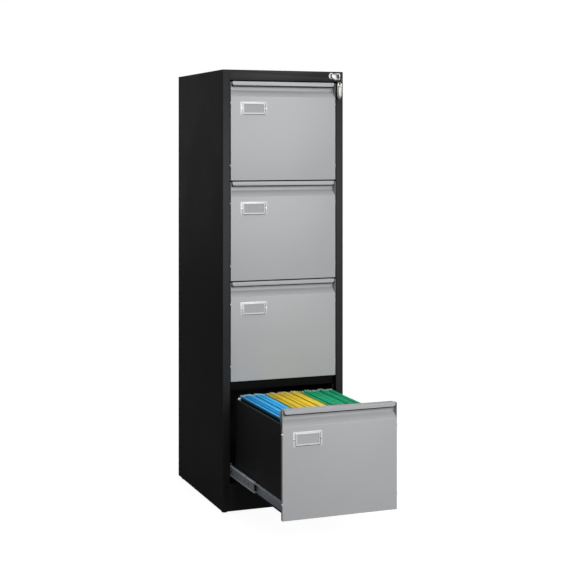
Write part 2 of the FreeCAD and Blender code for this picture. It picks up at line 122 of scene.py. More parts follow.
def make_active(obj):
    object_mode()
    bpy.ops.object.select_all(action="DESELECT")
    obj.select_set(True)
    bpy.context.view_layer.objects.active = obj


def settle(obj):
    """Put the object's place, turn and size into its mesh."""
    make_active(obj)
    bpy.ops.object.transform_apply(location=True, rotation=True, scale=True)


def named(name):
    obj = bpy.context.object
    obj.name = name
    settle(obj)
    return obj


def block(name, low, high):
    object_mode()
    bpy.ops.object.select_all(action="DESELECT")
    low, high = Vector(low), Vector(high)
    bpy.ops.mesh.primitive_cube_add(size=1, location=(low + high) / 2, scale=high - low)
    return named(name)


def rod(name, centre, axis, radius, depth, sides=32):
    """A cylinder along X, Y or Z, centred on a point."""
    object_mode()
    bpy.ops.object.select_all(action="DESELECT")
    turns = {"X": (0, math.pi / 2, 0), "Y": (math.pi / 2, 0, 0), "Z": (0, 0, 0)}
    bpy.ops.mesh.primitive_cylinder_add(vertices=sides, radius=radius, depth=depth,
                                        location=centre, rotation=turns[axis])
    return named(name)


def pick(obj, kind, test):
    """In edit mode, select the faces, edges or vertices that pass a test of their place."""
    make_active(obj)
    bpy.ops.object.mode_set(mode="EDIT")
    bpy.ops.mesh.select_mode(type=kind)
    bpy.ops.mesh.select_all(action="DESELECT")
    bpy.ops.object.mode_set(mode="OBJECT")
    mesh = obj.data
    if kind == "FACE":
        for face in mesh.polygons:
            face.select = test(face.center, face.normal)
    elif kind == "EDGE":
        for edge in mesh.edges:
            a, b = (mesh.vertices[i].co for i in edge.vertices)
            edge.select = test(a, b)
    else:
        for vertex in mesh.vertices:
            vertex.select = test(vertex.co)
    bpy.ops.object.mode_set(mode="EDIT")


def extrude(move):
    bpy.ops.mesh.extrude_region_move(TRANSFORM_OT_translate={"value": move})


def use_modifier(obj, kind, **values):
    modifier = obj.modifiers.new(kind.lower(), kind)
    for name, value in values.items():
        setattr(modifier, name, value)
    make_active(obj)
    bpy.ops.object.modifier_apply(modifier=modifier.name)


def bevel(obj, width, segments=3, angle=30):
    use_modifier(obj, "BEVEL", width=width, segments=segments, limit_method="ANGLE",
                 angle_limit=math.radians(angle), harden_normals=False)


def smooth(obj, angle=35):
    make_active(obj)
    bpy.ops.object.shade_smooth_by_angle(angle=math.radians(angle))


def face_out(obj, direction):
    """Turn an open sheet over if its largest face looks away from the given direction."""
    largest = max(obj.data.polygons, key=lambda face: face.area)
    if largest.normal.dot(Vector(direction)) < 0:
        make_active(obj)
        bpy.ops.object.mode_set(mode="EDIT")
        bpy.ops.mesh.select_all(action="SELECT")
        bpy.ops.mesh.flip_normals()
        object_mode()


def thicken(obj, thickness, offset=-1.0):
    use_modifier(obj, "SOLIDIFY", thickness=thickness, offset=offset, use_even_offset=True)


def close_up(obj):
    """Merge doubles and make every face of a closed piece look outwards."""
    make_active(obj)
    bpy.ops.object.mode_set(mode="EDIT")
    bpy.ops.mesh.select_all(action="SELECT")
    bpy.ops.mesh.remove_doubles(threshold=0.00001)
    bpy.ops.mesh.normals_make_consistent(inside=False)
    object_mode()


def copied(obj, name, move=(0, 0, 0), mirror=False):
    """A copy with its own mesh, moved or mirrored across the cabinet."""
    make_active(obj)
    bpy.ops.object.duplicate()
    twin = bpy.context.object
    twin.name = name
    twin.location = move
    if mirror:
        twin.scale.x = -1
    settle(twin)
    if mirror:
        close_up(twin)
    return twin


def joined(name, pieces):
    make_active(pieces[0])
    for piece in pieces:
        piece.select_set(True)
    if len(pieces) > 1:
        bpy.ops.object.join()
    return named(name)


def folded(name, points, start, end, thickness, bend, along="X", out=(0, -1, 0)):
    """A sheet folded along a list of (across, up) points and run from start to end.

    The first strip is a plane; each further strip is extruded from its last edge."""
    (a0, b0), (a1, b1) = points[0], points[1]
    length = math.hypot(a1 - a0, b1 - b0)
    tilt = math.atan2(b1 - b0, a1 - a0)
    place = ((start + end) / 2, (a0 + a1) / 2, (b0 + b1) / 2)
    object_mode()
    bpy.ops.object.select_all(action="DESELECT")
    bpy.ops.mesh.primitive_plane_add(size=1, location=place, rotation=(tilt, 0, 0))
    bpy.context.object.scale = (end - start, length, 1)
    obj = named(name)

    def at_tip(co):
        return abs(co.y - a1) < 1e-5 and abs(co.z - b1) < 1e-5

    pick(obj, "EDGE", lambda p, q: at_tip(p) and at_tip(q))
    for (a, b), (c, d) in zip(points[1:], points[2:]):
        extrude((0, c - a, d - b))
    object_mode()
    if along == "Y":
        obj.rotation_euler = (0, 0, -math.pi / 2)
        obj.scale = (-1, 1, 1)
        settle(obj)
    face_out(obj, out)
    if bend:
        bevel(obj, bend, 4, 20)
    if thickness:
        thicken(obj, thickness)
    return obj


def refined(node, width, segments=2):
    """A clean copy of a CAD node: merged, its flat areas dissolved, its edges eased."""
    make_active(frame["nodes"][node])
    bpy.ops.object.duplicate()
    twin = bpy.context.object
    twin.parent = None
    twin.name = node + "_finished"
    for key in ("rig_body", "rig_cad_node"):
        if key in twin:
            del twin[key]
    bpy.ops.object.mode_set(mode="EDIT")
    bpy.ops.mesh.select_all(action="SELECT")
    bpy.ops.mesh.remove_doubles(threshold=0.00001)
    bpy.ops.mesh.dissolve_limited(angle_limit=math.radians(1))
    object_mode()
    if width:
        bevel(twin, width, segments, 40)
    smooth(twin)
    return twin


# ---------------------------------------------------------------- shader groups

def new_group(name, inputs, outputs):
    group = bpy.data.node_groups.new(name, "ShaderNodeTree")
    for label, kind, value in inputs:
        socket = group.interface.new_socket(label, in_out="INPUT", socket_type="NodeSocket" + kind)
        if value is not None:
            socket.default_value = value
    for label, kind in outputs:
        group.interface.new_socket(label, in_out="OUTPUT", socket_type="NodeSocket" + kind)
    return group, group.nodes.new("NodeGroupInput"), group.nodes.new("NodeGroupOutput")


def node(tree, kind, links=(), **values):
    """Add a node, set its properties or input values, and link its inputs."""
    made = tree.nodes.new("ShaderNode" + kind)
    for name, value in values.items():
        if hasattr(made, name):
            setattr(made, name, value)
        else:
            made.inputs[name.replace("_", " ")].default_value = value
    for target, source in links:
        tree.links.new(source, made.inputs[target])
    return made


def ramp(tree, source, low, high, to_low=0.0, to_high=1.0):
    made = node(tree, "MapRange", [("Value", source)])
    made.inputs["From Min"].default_value = low
    made.inputs["From Max"].default_value = high
    made.inputs["To Min"].default_value = to_low
    made.inputs["To Max"].default_value = to_high
    return made.outputs["Result"]


def mixed(tree, factor, first, second):
    made = tree.nodes.new("ShaderNodeMix")
    made.data_type = "RGBA"
    for index, value in ((0, factor), (6, first), (7, second)):
        if hasattr(value, "is_linked"):
            tree.links.new(value, made.inputs[index])
        else:
            made.inputs[index].default_value = value
    return made.outputs[2]


def grain_group():
    """Powder coat: a fine pebbled height and a slow cloudiness."""
    inputs = [("Vector", "Vector", None), ("Pebble Scale", "Float", 900.0)]
    group, given, out = new_group("powder_grain", inputs, [("Height", "Float"), ("Cloud", "Float")])
    fine = node(group, "TexNoise", [("Vector", given.outputs[0]), ("Scale", given.outputs[1])], Detail=3.0)
    slow = node(group, "TexNoise", [("Vector", given.outputs[0])], Scale=5.0, Detail=4.0)
    group.links.new(fine.outputs[0], out.inputs[0])
    group.links.new(slow.outputs[0], out.inputs[1])
    return group


def scuff_group():
    """Thin scratches in two directions, thinned out by a slow mask."""
    inputs = [("Vector", "Vector", None), ("Amount", "Float", 0.4)]
    group, given, out = new_group("scuffs", inputs, [("Mask", "Float")])
    lines = []
    for turn in (0.35, -0.9):
        turned = node(group, "Mapping", [("Vector", given.outputs[0])])
        turned.inputs["Rotation"].default_value = (turn, turn * 0.7, turn)
        turned.inputs["Scale"].default_value = (900.0, 14.0, 60.0)
        noise = node(group, "TexNoise", [("Vector", turned.outputs[0])], Scale=1.0, Detail=2.0)
        lines.append(ramp(group, noise.outputs[0], 0.68, 0.78))
    both = node(group, "Math", [(0, lines[0]), (1, lines[1])], operation="MAXIMUM")
    slow = node(group, "TexNoise", [("Vector", given.outputs[0])], Scale=9.0, Detail=2.0)
    where = ramp(group, slow.outputs[0], 0.48, 0.7)
    kept = node(group, "Math", [(0, both.outputs[0]), (1, where)], operation="MULTIPLY")
    final = node(group, "Math", [(0, kept.outputs[0]), (1, given.outputs[1])], operation="MULTIPLY")
    group.links.new(final.outputs[0], out.inputs[0])
    return group


def dust_group():
    """Dust that settles on faces that look up, in soft patches."""
    inputs = [("Vector", "Vector", None), ("Amount", "Float", 0.3)]
    group, given, out = new_group("dust", inputs, [("Mask", "Float")])
    shape = node(group, "NewGeometry")
    split = node(group, "SeparateXYZ", [("Vector", shape.outputs["Normal"])])
    upward = ramp(group, split.outputs["Z"], 0.6, 1.0)
    patches = node(group, "TexNoise", [("Vector", given.outputs[0])], Scale=14.0, Detail=6.0)
    soft = ramp(group, patches.outputs[0], 0.35, 0.75)
    both = node(group, "Math", [(0, upward), (1, soft)], operation="MULTIPLY")
    final = node(group, "Math", [(0, both.outputs[0]), (1, given.outputs[1])], operation="MULTIPLY")
    group.links.new(final.outputs[0], out.inputs[0])
    return group


def rolling_group():
    """Rolling marks that run one way, from a noise that is stretched along that way."""
    inputs = [("Vector", "Vector", None), ("Stretch", "Vector", (400.0, 8.0, 400.0))]
    group, given, out = new_group("rolling_marks", inputs, [("Height", "Float")])
    scaled = node(group, "VectorMath", [(0, given.outputs[0]), (1, given.outputs[1])], operation="MULTIPLY")
    noise = node(group, "TexNoise", [("Vector", scaled.outputs[0])], Scale=1.0, Detail=4.0)
    group.links.new(noise.outputs[0], out.inputs[0])
    return group


GRAIN = grain_group()
SCUFFS = scuff_group()
DUST = dust_group()
ROLLING = rolling_group()


def placed(tree, group, coords, **values):
    made = tree.nodes.new("ShaderNodeGroup")
    made.node_tree = group
    tree.links.new(coords, made.inputs["Vector"])
    for name, value in values.items():
        made.inputs[name.replace("_", " ")].default_value = value
    return made.outputs


def new_material(name, **values):
    """A material with a Principled shader, and the object's own coordinates."""
    made = bpy.data.materials.new(name)
    made.use_nodes = True
    tree = made.node_tree
    shader = tree.nodes["Principled BSDF"]
    for label, value in values.items():
        shader.inputs[label.replace("_", " ")].default_value = value
    coords = tree.nodes.new("ShaderNodeTexCoord").outputs["Object"]
    return made, tree, shader, coords


def add_bump(tree, shader, height, strength, distance):
    bump = node(tree, "Bump", [("Height", height)], Strength=strength, Distance=distance)
    tree.links.new(bump.outputs[0], shader.inputs["Normal"])


def powder_coat(name, colour, shade, roughness, pebble, strength, dust, scuffs, specular):
    """Sprayed and baked paint: slightly cloudy, pebbled, dusty on top, scuffed here and there."""
    made, tree, shader, coords = new_material(name, Specular_IOR_Level=specular)
    grain = placed(tree, GRAIN, coords, Pebble_Scale=pebble)
    marks = placed(tree, SCUFFS, coords, Amount=scuffs)
    settled = placed(tree, DUST, coords, Amount=dust)
    cloud = ramp(tree, grain["Cloud"], 0.3, 0.7)
    paint = mixed(tree, cloud, colour, shade)
    worn = mixed(tree, marks["Mask"], paint, (0.35, 0.35, 0.36, 1))
    dusty = mixed(tree, settled["Mask"], worn, (0.42, 0.40, 0.37, 1))
    tree.links.new(dusty, shader.inputs["Base Color"])
    rough = ramp(tree, grain["Cloud"], 0.3, 0.7, roughness - 0.05, roughness + 0.05)
    tree.links.new(rough, shader.inputs["Roughness"])
    add_bump(tree, shader, grain["Height"], strength, 0.0004)
    return made


def plated(name, colour, shade, roughness, stretch, strength, scuffs, metallic=1.0):
    """Plated steel with rolling marks, uneven colour and fine scratches."""
    made, tree, shader, coords = new_material(name, Metallic=metallic)
    rolling = placed(tree, ROLLING, coords, Stretch=stretch)
    grain = placed(tree, GRAIN, coords, Pebble_Scale=260.0)
    marks = placed(tree, SCUFFS, coords, Amount=scuffs)
    tone = mixed(tree, ramp(tree, grain["Cloud"], 0.35, 0.65), colour, shade)
    scratched = mixed(tree, marks["Mask"], tone, (0.8, 0.8, 0.8, 1))
    tree.links.new(scratched, shader.inputs["Base Color"])
    rough = ramp(tree, rolling["Height"], 0.3, 0.7, roughness - 0.06, roughness + 0.08)
    tree.links.new(rough, shader.inputs["Roughness"])
    add_bump(tree, shader, rolling["Height"], strength, 0.0002)
    return made


def card_stock(name, colour, deep, light, depth=None):
    """Dyed card: fibres, slow fading, and a tone that changes from folder to folder.

    With a depth, given as two heights, the card's colour darkens below them: painted shade down between the
    folders."""
    made, tree, shader, coords = new_material(name, Roughness=0.75, Specular_IOR_Level=0.25)
    across = node(tree, "Mapping", [("Vector", coords)])
    across.inputs["Scale"].default_value = (95.0, 0.0, 0.0)
    folder_tone = node(tree, "TexNoise", [("Vector", across.outputs[0])], Scale=1.0, Detail=1.0)
    fibres = node(tree, "TexNoise", [("Vector", coords)], Scale=700.0, Detail=6.0)
    grain = placed(tree, GRAIN, coords, Pebble_Scale=1400.0)
    base = mixed(tree, ramp(tree, folder_tone.outputs[0], 0.4, 0.62), colour, light)
    faded = mixed(tree, ramp(tree, grain["Cloud"], 0.35, 0.8, 0.0, 0.5), base, deep)
    speckled_and_shaded = mixed(tree, ramp(tree, fibres.outputs[0], 0.55, 0.75, 0.0, 0.35), faded, light)
    if depth:
        # Painted shade: below the given heights the card goes to 0.12 of its deep tone, as if shaded
        # between the folders.
        split = node(tree, "SeparateXYZ", [("Vector", coords)])
        lit = ramp(tree, split.outputs["Z"], depth[0], depth[1])
        speckled_and_shaded = mixed(tree, lit, tuple(channel * 0.12 for channel in deep[:3]) + (1,), speckled_and_shaded)
    tree.links.new(speckled_and_shaded, shader.inputs["Base Color"])
    add_bump(tree, shader, fibres.outputs[0], 0.25, 0.0003)
    return made


def moulded(name, colour, roughness):
    """Moulded plastic with a fine spark-eroded skin."""
    made, tree, shader, coords = new_material(name, Specular_IOR_Level=0.4)
    grain = placed(tree, GRAIN, coords, Pebble_Scale=1800.0)
    lighter = tuple(min(1.0, channel * 1.5 + 0.01) for channel in colour[:3]) + (1,)
    tone = mixed(tree, ramp(tree, grain["Cloud"], 0.3, 0.8), colour, lighter)
    tree.links.new(tone, shader.inputs["Base Color"])
    rough = ramp(tree, grain["Height"], 0.3, 0.7, roughness - 0.08, roughness + 0.08)
    tree.links.new(rough, shader.inputs["Roughness"])
    add_bump(tree, shader, grain["Height"], 0.3, 0.0002)
    return made


# The heights between which a folder's card goes from dark to lit.
FOLDER_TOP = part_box("blue_folders")[1].z
FOLDER_SHADE = (FOLDER_TOP - 9 * MM, FOLDER_TOP - 2 * MM)

MATERIALS = {
    "black_paint": powder_coat(
        "black_powder_coat", (0.020, 0.020, 0.0215, 1), (0.026, 0.026, 0.028, 1), roughness=0.42,
        pebble=700.0, strength=0.08, dust=0.02, scuffs=0.03, specular=0.12),
    "tray_paint": powder_coat(
        "tray_powder_coat", (0.020, 0.020, 0.020, 1), (0.025, 0.025, 0.025, 1), roughness=0.5,
        pebble=700.0, strength=0.08, dust=0.02, scuffs=0.05, specular=0.12),
    "grey_paint": powder_coat(
        "grey_powder_coat", (0.43, 0.435, 0.447, 1), (0.45, 0.455, 0.465, 1), roughness=0.36,
        pebble=900.0, strength=0.05, dust=0.02, scuffs=0.03, specular=0.35),
    "label_card": card_stock(
        "label_card_stock", (0.44, 0.445, 0.455, 1), (0.43, 0.435, 0.445, 1), (0.45, 0.455, 0.465, 1)),
    # Painted shade: black paint made darker and duller still for the cross rails inside the case, as if
    # unlit.
    "interior_painted_shade": powder_coat(
        "unlit_powder_coat", (0.006, 0.006, 0.006, 1), (0.008, 0.008, 0.008, 1), roughness=0.6,
        pebble=700.0, strength=0.08, dust=0.0, scuffs=0.0, specular=0.03),
    "satin_plate": powder_coat(
        "satin_nickel", (0.64, 0.655, 0.68, 1), (0.70, 0.71, 0.73, 1), roughness=0.28, pebble=1400.0,
        strength=0.03, dust=0.02, scuffs=0.1, specular=0.8),
    "zinc_plate": plated(
        "zinc_plate", (0.46, 0.51, 0.57, 1), (0.56, 0.60, 0.65, 1), roughness=0.34,
        stretch=(500.0, 10.0, 500.0), strength=0.15, scuffs=0.4, metallic=0.45),
    "bright_plate": plated(
        "bright_nickel", (0.80, 0.82, 0.85, 1), (0.70, 0.72, 0.75, 1), roughness=0.24,
        stretch=(10.0, 500.0, 500.0), strength=0.08, scuffs=0.3),
    "key_steel": plated(
        "key_nickel", (0.30, 0.30, 0.29, 1), (0.20, 0.20, 0.19, 1), roughness=0.34,
        stretch=(500.0, 500.0, 20.0), strength=0.1, scuffs=0.6),
    "black_plastic": moulded(
        "black_moulding", (0.014, 0.014, 0.014, 1), roughness=0.55),
    "white_plastic": moulded(
        "white_tips", (0.7, 0.71, 0.7, 1), roughness=0.4),
    "blue_card": card_stock(
        "blue_card_stock", (0.022, 0.38, 0.80, 1), (0.010, 0.24, 0.58, 1), (0.09, 0.60, 0.98, 1),
        depth=FOLDER_SHADE),
    "yellow_card": card_stock(
        "yellow_card_stock", (0.78, 0.53, 0.012, 1), (0.62, 0.40, 0.008, 1), (0.88, 0.72, 0.08, 1),
        depth=FOLDER_SHADE),
    "green_card": card_stock(
        "green_card_stock", (0.009, 0.38, 0.17, 1), (0.005, 0.27, 0.11, 1), (0.03, 0.56, 0.28, 1),
        depth=FOLDER_SHADE),
}


def painted(obj, material):
    obj.data.materials.clear()
    obj.data.materials.append(MATERIALS[material])


def finish_piece(obj, body, slot, material=None, stands_for=()):
    """Give a piece its finish, its slot's material unless another is named, put it in its body, and hide
    the nodes that it stands for.
    """
    painted(obj, material or slot)
    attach(obj, body)
    if stands_for:
        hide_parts(*stands_for)


# ---------------------------------------------------------------- drawer fronts

def drawer_node(drawer, part):
    return "drawer_" + str(drawer) + "_" + part


def drawer_move(drawer):
    """From a piece of the top drawer to the same piece of another drawer."""
    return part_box(drawer_node(drawer, "front"))[0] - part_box(drawer_node(1, "front"))[0]


def for_each_drawer(piece, part, slot, stands_for, material=None):
    """Give the top drawer's piece to every drawer."""
    pieces = [piece]
    for drawer in DRAWERS[1:]:
        pieces.append(copied(piece, "piece", drawer_move(drawer)))
    for drawer, obj in zip(DRAWERS, pieces):
        obj.name = drawer_node(drawer, part)
        nodes = [drawer_node(drawer, name) for name in stands_for]
        finish_piece(obj, "drawer_" + str(drawer), slot, material, nodes)


def front_panel():
    """One pressed sheet: face, slope, neck, and flanges down both sides and along the bottom."""
    low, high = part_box("drawer_1_front")
    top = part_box("drawer_1_grip")[1].z
    face = low.y
    neck = face + RECESS
    outline = [(face, low.z), (face, top - SLOPE_BOTTOM), (neck, top - NECK_BOTTOM), (neck, top - NECK_TOP)]
    panel = folded("front", outline, low.x, high.x, 0, 0)

    def on_rim(a, b):
        at_side = abs(abs(a.x) - high.x) < 1e-5 and abs(a.x - b.x) < 1e-5
        at_bottom = abs(a.z - low.z) < 1e-5 and abs(b.z - low.z) < 1e-5
        return at_side or at_bottom

    pick(panel, "EDGE", on_rim)
    extrude((0, FLANGE, 0))
    pick(panel, "VERT", lambda co: co.y > neck + FLANGE / 2)
    bpy.ops.transform.translate(value=(0, high.y - neck - FLANGE, 0))
    pick(panel, "EDGE", lambda a, b: abs(a.z - b.z) < 1e-5 and abs(a.z - top + NECK_TOP) < 1e-5
         and abs(a.y - neck) < 1e-5 and abs(b.y - neck) < 1e-5)
    extrude((0, SHEET * 1.1, 0))
    object_mode()
    face_out(panel, (0, -1, 0))
    bevel(panel, BEND, 5, 20)
    thicken(panel, SHEET)
    bevel(panel, SHEET * 0.2, 2, 50)
    smooth(panel)
    return panel


def grip_lip():
    """The rolled lip: rounded at its lower ends, open below, with a short return edge."""
    low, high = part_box("drawer_1_grip")
    half = high.x - LIP_INSET
    lip = block("grip", (-half, low.y, low.z), (half, high.y, high.z))

    def end_edge(level):
        return lambda a, b: (abs(abs(a.x) - half) < 1e-5 and abs(a.x - b.x) < 1e-5
                             and abs(a.z - level) < 1e-5 and abs(b.z - level) < 1e-5)

    pick(lip, "EDGE", end_edge(low.z))
    bpy.ops.mesh.bevel(offset=LIP_CORNER, segments=8)
    pick(lip, "EDGE", end_edge(high.z))
    bpy.ops.mesh.bevel(offset=LIP_CORNER * 0.45, segments=5)
    pick(lip, "FACE", lambda centre, normal: normal.y > 0.9 or normal.z < -0.99)
    bpy.ops.mesh.delete(type="FACE")
    pick(lip, "EDGE", lambda a, b: abs(a.z - low.z) < 1e-5 and abs(b.z - low.z) < 1e-5
         and abs(a.y - low.y) < 1e-5 and abs(b.y - low.y) < 1e-5)
    extrude((0, LIP_RETURN, 0))
    object_mode()
    face_out(lip, (0, 0, 1))
    bevel(lip, 2.4 * MM, 5, 40)
    thicken(lip, LIP_SHEET)
    bevel(lip, LIP_SHEET * 0.2, 2, 50)
    smooth(lip)
    return lip


def end_caps():
    """The front's side flanges run up past the neck to the top of the lip."""
    low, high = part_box("drawer_1_front")
    lip_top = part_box("drawer_1_grip")[1].z
    caps = []
    for side in (-1, 1):
        outer, inner = side * high.x, side * (high.x - CAP_SHEET)
        cap = block("cap", (min(outer, inner), low.y, lip_top - SLOPE_BOTTOM - BEND),
                    (max(outer, inner), low.y + RECESS, lip_top - MM))
        bevel(cap, 0.6 * MM, 3, 40)
        caps.append(cap)
    caps = joined("caps", caps)
    smooth(caps)
    return caps


def shadow_strip():
    """A black strip behind the lip that shows below it and round its ends: painted shade in the gap under
    and round the lip.
    """
    low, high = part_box("drawer_1_grip")
    half = high.x - LIP_INSET + LIP_SHADOW_MARGIN
    strip = block("strip", (-half, low.y + 0.8 * MM, low.z - 3.0 * MM),
                  (half, low.y + 4.6 * MM, high.z - 3 * MM))
    pick(strip, "EDGE", lambda a, b: abs(a.x - b.x) < 1e-5 and abs(a.z - b.z) < 1e-5 and a.z < low.z)
    bpy.ops.mesh.bevel(offset=LIP_CORNER, segments=6)
    object_mode()
    bevel(strip, 0.4 * MM, 2, 40)
    smooth(strip)
    return strip


def label_frame():
    """A riveted plate with a raised frame, pressed in at the window."""
    low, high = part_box("drawer_1_label_holder")
    middle = (low + high) / 2
    plate = block("label", (low.x, high.y - LABEL_PLATE, low.z), high)
    pick(plate, "EDGE", lambda a, b: abs(a.y - b.y) > LABEL_PLATE / 2)
    bpy.ops.mesh.bevel(offset=2.5 * MM, segments=5)
    object_mode()
    bevel(plate, 0.25 * MM, 2, 40)
    rim = block("label_rim", (middle.x - LABEL_HALF_WIDTH, low.y, middle.z - LABEL_HALF_HEIGHT),
                (middle.x + LABEL_HALF_WIDTH, high.y - LABEL_PLATE, middle.z + LABEL_HALF_HEIGHT))
    pick(rim, "FACE", lambda centre, normal: normal.y < -0.9)
    bpy.ops.mesh.inset(thickness=LABEL_RIM)
    extrude((0, LABEL_WINDOW_DEPTH, 0))
    object_mode()
    bevel(rim, 0.7 * MM, 3, 40)
    holder = joined("label", [plate, rim])
    smooth(holder)
    return holder


def label_undercut():
    """A dark strip along the raised frame's right side and its foot: painted shadow of the frame on the
    plate.
    """
    low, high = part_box("drawer_1_label_holder")
    middle = (low + high) / 2
    face = high.y - LABEL_PLATE
    side = block("side", (middle.x + 34.9 * MM, face - 2.0 * MM, middle.z - 18.0 * MM),
                 (middle.x + 36.4 * MM, face, middle.z + 16 * MM))
    foot = block("foot", (middle.x - 33 * MM, face - 2.0 * MM, middle.z - 18.2 * MM),
                 (middle.x + 35.0 * MM, face, middle.z - 16.7 * MM))
    for bar in (side, foot):
        bevel(bar, 0.2 * MM, 2, 40)
    line = joined("painted_shadow_line", [side, foot])
    smooth(line)
    return line


def blank_card():
    """The unprinted card behind the label holder's window."""
    low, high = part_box("drawer_1_label_holder")
    middle = (low + high) / 2
    face = low.y + LABEL_WINDOW_DEPTH
    card = block("card", (middle.x - 31.4 * MM, face - 0.25 * MM, middle.z - 13.2 * MM),
                 (middle.x + 31.4 * MM, face + 0.1 * MM, middle.z + 13.2 * MM))
    pick(card, "FACE", lambda centre, normal: normal.y < -0.9)
    bpy.ops.mesh.inset(thickness=0.3 * MM, depth=0.02 * MM)
    object_mode()
    return card


def dome_rivet(name, x, y, z):
    radius, height = 2.5 * MM, 1.5 * MM
    rivet = rod(name, (x, y - height / 2, z), "Y", radius, height, 28)
    pick(rivet, "FACE", lambda centre, normal: normal.y < -0.9)
    bpy.ops.mesh.bevel(offset=height * 0.9, segments=6, profile=0.5)
    object_mode()
    return rivet


def pan_screw(name, x, y, z, side):
    """A pan-head screw with a narrow oval recess, its head standing off the flange."""
    radius, height = SCREW_RADIUS, 1.9 * MM
    screw = rod(name, (x + side * height / 2, y, z), "X", radius, height, 28)
    pick(screw, "FACE", lambda centre, normal: normal.x * side > 0.9)
    bpy.ops.mesh.bevel(offset=height * 0.55, segments=5)
    middle = Vector((x, y, z))
    pick(screw, "FACE", lambda centre, normal: normal.x * side > 0.9
         and (centre - middle).length < radius)
    bpy.ops.mesh.inset(thickness=radius * 0.18)
    extrude((-side * height * 0.4, 0, 0))
    bpy.ops.transform.resize(value=(1, 0.45, 1), center_override=(x, y, z))
    object_mode()
    return screw


def front_fixings():
    """Two rivets through the label plate and two screws in each side flange."""
    low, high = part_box("drawer_1_label_holder")
    middle = (low + high) / 2
    plate_face = high.y - LABEL_PLATE
    pieces = []
    for side in (-1, 1):
        pieces.append(dome_rivet("rivet", middle.x + side * RIVET_SPREAD, plate_face, middle.z))
    face_low, face_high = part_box("drawer_1_front")
    lowest_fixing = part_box("drawer_1_fixings")[0].z
    for z in (lowest_fixing + SCREW_RADIUS, face_low.z + SCREW_SPACING):
        for side in (-1, 1):
            pieces.append(pan_screw("screw", side * face_high.x, face_low.y + 4.5 * MM, z, side))
    fixings = joined("fixings", pieces)
    smooth(fixings, 50)
    return fixings


def build_fronts():
    for_each_drawer(front_panel(), "front_panel", "grey_paint", ["front"])
    for_each_drawer(grip_lip(), "grip_lip", "grey_paint", ["grip"])
    for_each_drawer(end_caps(), "end_caps", "grey_paint", [])
    # The lip's painted shadow is a strip in the black plastic finish.
    for_each_drawer(shadow_strip(), "lip_edging", "black_plastic", [])
    for_each_drawer(label_frame(), "label_frame", "bright_plate", ["label_holder"], "satin_plate")
    # The label frame's painted shadow is a strip in the black plastic finish.
    for_each_drawer(label_undercut(), "label_undercut", "black_plastic", [])
    for_each_drawer(blank_card(), "blank_card", "grey_paint", [], "label_card")
    for_each_drawer(front_fixings(), "rivets_and_screws", "bright_plate", ["fixings"])


# ---------------------------------------------------------------- slides

def raceway(name, web, tip, half_height, middle, start, end, thickness, curl):
    """A channel along Y whose flanges curl round at their tips to hold the balls."""
    outline = [(tip, half_height - curl), (tip, half_height), (web, half_height),
               (web, -half_height), (tip, -half_height), (tip, curl - half_height)]
    points = [(x, middle + z) for x, z in outline]
    outward = 1 if web > tip else -1
    member = folded(name, points, start, end, thickness, min(curl * 0.5, 1.4 * MM), "Y", (outward, 0, 0))
    close_up(member)
    smooth(member)
    return member


def punched(member, holes, radius):
    """Round holes through a member's web, along X."""
    cutters = [rod("cutter", hole, "X", radius, 6 * MM, 24) for hole in holes]
    cutter = joined("cutter", cutters)
    use_modifier(member, "BOOLEAN", operation="DIFFERENCE", object=cutter, solver="EXACT")
    bpy.data.objects.remove(cutter)
    smooth(member)


def slide_level(drawer):
    low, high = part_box(drawer_node(drawer, "slide_middle"))
    return low, high, (low.z + high.z) / 2


def mirrored_pair(name, right):
    """A right-hand piece and its mirror image, as one object."""
    return joined(name, [right, copied(right, "left", mirror=True)])


def outer_rails():
    """The members that are fixed to the case, one pair for each drawer."""
    low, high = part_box("slide_outer_members")
    members = []
    for drawer in DRAWERS:
        level = slide_level(drawer)[2]
        right = raceway("outer", high.x, high.x - OUTER_DEPTH, OUTER_HALF, level, low.y, high.y,
                        1.2 * MM, 3.2 * MM)
        members += [right, copied(right, "outer_left", mirror=True)]
    finish_piece(joined("outer_rails", members), "carcass", "zinc_plate", None, ["slide_outer_members"])


def middle_rails(drawer, body):
    """The members that travel half way, with holes punched in their webs."""
    low, high, level = slide_level(drawer)
    member = raceway("middle", high.x, high.x - MEMBER_DEPTH, MIDDLE_HALF, level, low.y, high.y,
                     1.0 * MM, 2.8 * MM)
    punched(member, [(high.x, low.y + up, level) for up in SLIDE_HOLES], SLIDE_HOLE_RADIUS)
    rails = mirrored_pair(drawer_node(drawer, "middle_rails"), member)
    finish_piece(rails, body, "zinc_plate", None, [drawer_node(drawer, "slide_middle")])


def inner_rails(drawer):
    """The members that are fixed to the drawer."""
    level = slide_level(drawer)[2]
    low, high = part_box(drawer_node(drawer, "slide_inner"))
    member = raceway("inner", high.x - MEMBER_DEPTH, high.x, INNER_HALF, level, low.y, high.y,
                     1.2 * MM, 2.2 * MM)
    rails = mirrored_pair(drawer_node(drawer, "inner_rails"), member)
    finish_piece(rails, "drawer_" + str(drawer), "zinc_plate", None, [drawer_node(drawer, "slide_inner")])


def slide_trim(drawer, body):
    """The rounded edges of the middle member and the curls at its front end, in a brighter plate than the
    member: painted highlights along its edges.
    """
    low, high, level = slide_level(drawer)
    pieces = []
    for up in (-1, 1):
        curl_at = (high.x - MEMBER_DEPTH / 2, low.y + 3 * MM, level + up * 12.4 * MM)
        pieces.append(rod("curl", curl_at, "X", 2.6 * MM, 7.4 * MM))
        bead_at = (high.x - 0.2 * MM, (low.y + high.y) / 2, level + up * 13.6 * MM)
        pieces.append(rod("bead", bead_at, "Y", 1.2 * MM, high.y - low.y - 6 * MM, 12))
    highlight_rods = joined("highlight_rods", pieces)
    bevel(highlight_rods, 0.25 * MM, 2, 40)
    smooth(highlight_rods, 50)
    both = mirrored_pair(drawer_node(drawer, "slide_trim"), highlight_rods)
    # The brighter satin plate paints the highlights; the member itself is zinc plate.
    finish_piece(both, body, "bright_plate", "satin_plate")


